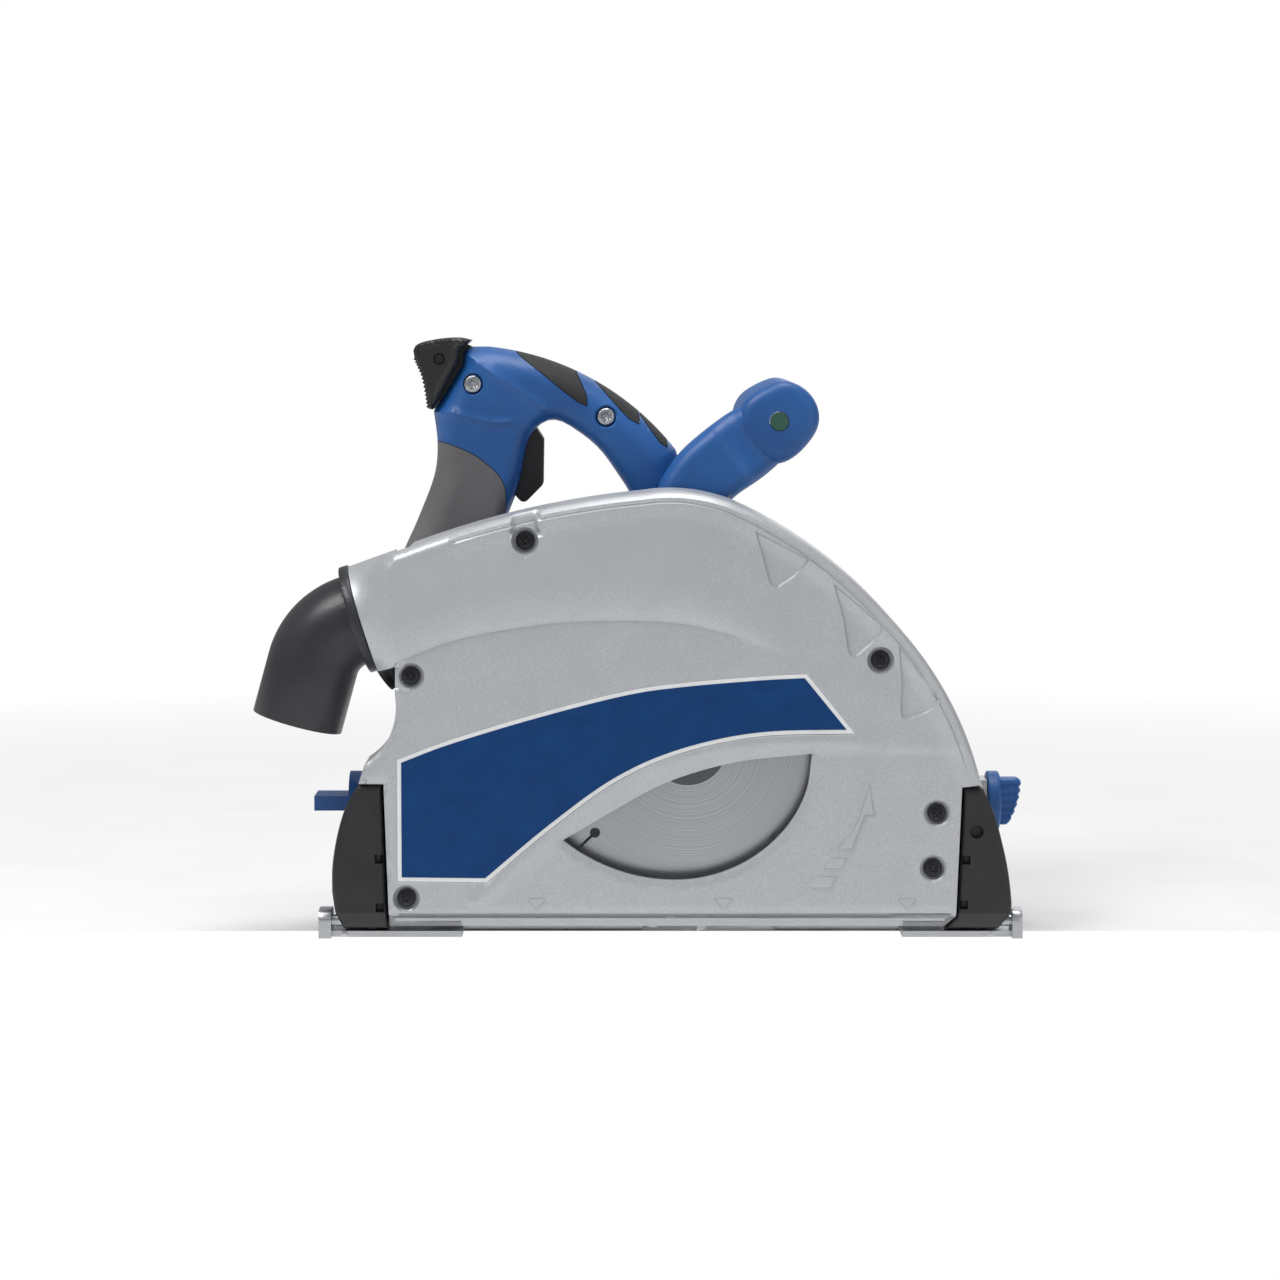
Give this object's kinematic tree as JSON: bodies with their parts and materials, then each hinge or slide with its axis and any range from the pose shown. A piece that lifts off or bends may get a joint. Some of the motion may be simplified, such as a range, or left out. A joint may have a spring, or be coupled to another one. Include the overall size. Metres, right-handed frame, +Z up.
{
  "type": "track plunge saw",
  "caption": "Circular plunge saw on a flat sole for a guide rail, with swinging motor head, side blade cover, bevel clamps, closed rear handle, front grip and swivelling dust elbow.",
  "frame": {"origin": "on the sole, midway along the base plate, under the motor's edge of the gear case", "axes": "+X the cutting direction, +Y from the blade cover to the motor, +Z up from the sole"},
  "size_m": [0.3318, 0.186, 0.258],
  "materials": {
    "silver_paint": "silver metallic paint on cast magnesium",
    "aluminium": "brushed and anodised",
    "steel": "ground and radially brushed",
    "dark_steel": "black oxide",
    "black_plastic": "fine moulded grain",
    "blue_plastic": "moulded glass-filled nylon, satin",
    "sign_blue": "printed film",
    "soft_grey": "moulded soft grip",
    "soft_black": "moulded soft grip",
    "copper": "enamelled wire and copper bars",
    "carbon": "pressed carbon",
    "iron": "stacked laminations"
  },
  "bodies": {
    "base": {"base_plate": "aluminium", "hinge_pins": "steel", "clamp_bolts": "steel", "bevel_scale": "aluminium"},
    "guard": {"blade_cover": "silver_paint", "guard_housing": "aluminium", "cover_screws": "dark_steel", "sign_panel": "sign_blue", "rear_end_cap": "black_plastic", "front_end_cap": "black_plastic", "plunge_shaft": "steel", "shaft_circlip": "dark_steel", "return_spring": "steel", "depth_scale": "aluminium", "knife_guide": "aluminium", "knife_guide_screws": "dark_steel"},
    "head": {"gear_case": "aluminium", "motor_housing": "blue_plastic", "motor_end_cap": "black_plastic", "stator": "iron", "carbon_brushes": "carbon", "brush_caps": "black_plastic", "spindle_bearings": "steel", "motor_bearings": "steel", "handle_shell_near": "blue_plastic", "handle_shell_far": "blue_plastic", "rear_grip_skin": "soft_grey", "front_grip_inserts": "soft_black", "handle_screws": "dark_steel", "control_pins": "steel", "switch_module": "black_plastic", "cord_gland": "soft_black", "front_grip": "blue_plastic", "front_grip_plug": "blue_plastic", "front_grip_screws": "dark_steel"},
    "blade_set": {"saw_blade": "steel", "spindle": "steel", "inner_flange": "dark_steel", "outer_flange": "dark_steel", "blade_bolt": "dark_steel", "spindle_gear": "steel"},
    "armature": {"motor_pinion": "steel", "rotor_shaft": "steel", "rotor_core": "iron", "rotor_windings": "copper", "commutator": "copper", "cooling_fan": "black_plastic"},
    "knife": {"riving_knife": "dark_steel"},
    "elbow": {"dust_elbow": "black_plastic"},
    "rear_knob": {"rear_bevel_knob": "blue_plastic"},
    "front_knob": {"front_bevel_knob": "blue_plastic"},
    "rear_adjuster": {"rear_guide_adjuster": "black_plastic"},
    "front_adjuster": {"front_guide_adjuster": "black_plastic"},
    "stop": {"depth_stop": "black_plastic"},
    "stop_knob": {"depth_stop_knob": "black_plastic"},
    "trigger_body": {"trigger": "black_plastic"},
    "lock_off": {"lock_off_lever": "black_plastic"},
    "spindle_lock": {"spindle_lock_button": "black_plastic"}
  },
  "joints": [
    {"name": "arm_plunge", "type": "hinge", "parent": "guard", "child": "head", "pos_m": [-0.0772, 0, 0.0384], "axis": [0, 1, 0], "range_deg": [0, 35.95], "stiffness_Nm_per_rad": 10, "springref_deg": -51.57, "deforming": ["return_spring"]},
    {"name": "bevel_tilt", "type": "hinge", "parent": "base", "child": "guard", "pos_m": [0, -0.08, 0.007], "axis": [1, 0, 0], "range_deg": [0, 45]},
    {"name": "blade_spin", "type": "hinge", "parent": "head", "child": "blade_set", "pos_m": [0.00533, -0.076, 0.0817], "axis": [0, -1, 0], "continuous": true},
    {"name": "armature_spin", "type": "hinge", "parent": "head", "child": "armature", "pos_m": [-0.01597, 0, 0.09572], "axis": [0, -1, 0], "continuous": true},
    {"name": "knife_slide", "type": "slide", "parent": "guard", "child": "knife", "axis": [0.1225, 0, -0.9925], "range_m": [0, 0.05733]},
    {"name": "elbow_swivel", "type": "hinge", "parent": "guard", "child": "elbow", "pos_m": [-0.1329, -0.0675, 0.1358], "axis": [-0.9563, 0, -0.2924], "range_deg": [-90, 90]},
    {"name": "rear_knob_turn", "type": "hinge", "parent": "base", "child": "rear_knob", "pos_m": [-0.135, -0.046, 0.054], "axis": [1, 0, 0], "range_deg": [-60, 60]},
    {"name": "front_knob_turn", "type": "hinge", "parent": "base", "child": "front_knob", "pos_m": [0.136, -0.046, 0.054], "axis": [1, 0, 0], "range_deg": [-60, 60]},
    {"name": "rear_adjuster_turn", "type": "hinge", "parent": "base", "child": "rear_adjuster", "pos_m": [-0.1, -0.008, 0.008], "axis": [0, 0, 1], "range_deg": [-45, 45]},
    {"name": "front_adjuster_turn", "type": "hinge", "parent": "base", "child": "front_adjuster", "pos_m": [0.1, -0.008, 0.008], "axis": [0, 0, 1], "range_deg": [-45, 45]},
    {"name": "stop_slide", "type": "hinge", "parent": "guard", "child": "stop", "pos_m": [-0.0772, 0, 0.0384], "axis": [0, 1, 0], "range_deg": [-30, 0]},
    {"name": "stop_knob_turn", "type": "hinge", "parent": "stop", "child": "stop_knob", "pos_m": [0.06242, -0.05, 0.04865], "axis": [0, 1, 0], "range_deg": [-90, 90]},
    {"name": "trigger_pull", "type": "hinge", "parent": "head", "child": "trigger_body", "pos_m": [-0.06928, -0.015, 0.2203], "axis": [0, 1, 0], "range_deg": [0, 6], "stiffness_Nm_per_rad": 0.4, "springref_deg": -8.59},
    {"name": "lock_off_press", "type": "hinge", "parent": "head", "child": "lock_off", "pos_m": [-0.10248, -0.015, 0.24563], "axis": [0, 1, 0], "range_deg": [0, 5], "stiffness_Nm_per_rad": 0.4, "springref_deg": -8.59},
    {"name": "spindle_lock_press", "type": "slide", "parent": "head", "child": "spindle_lock", "axis": [0.5871, 0, -0.8095], "range_m": [0, 0.004], "stiffness_N_per_m": 300, "springref_m": -0.002}
  ],
  "couplings": [
    {"joint": "armature_spin", "follows": "blade_spin", "ratio": -3.6364},
    {"joint": "knife_slide", "follows": "arm_plunge", "m_per_rad": 0.091052}
  ]
}
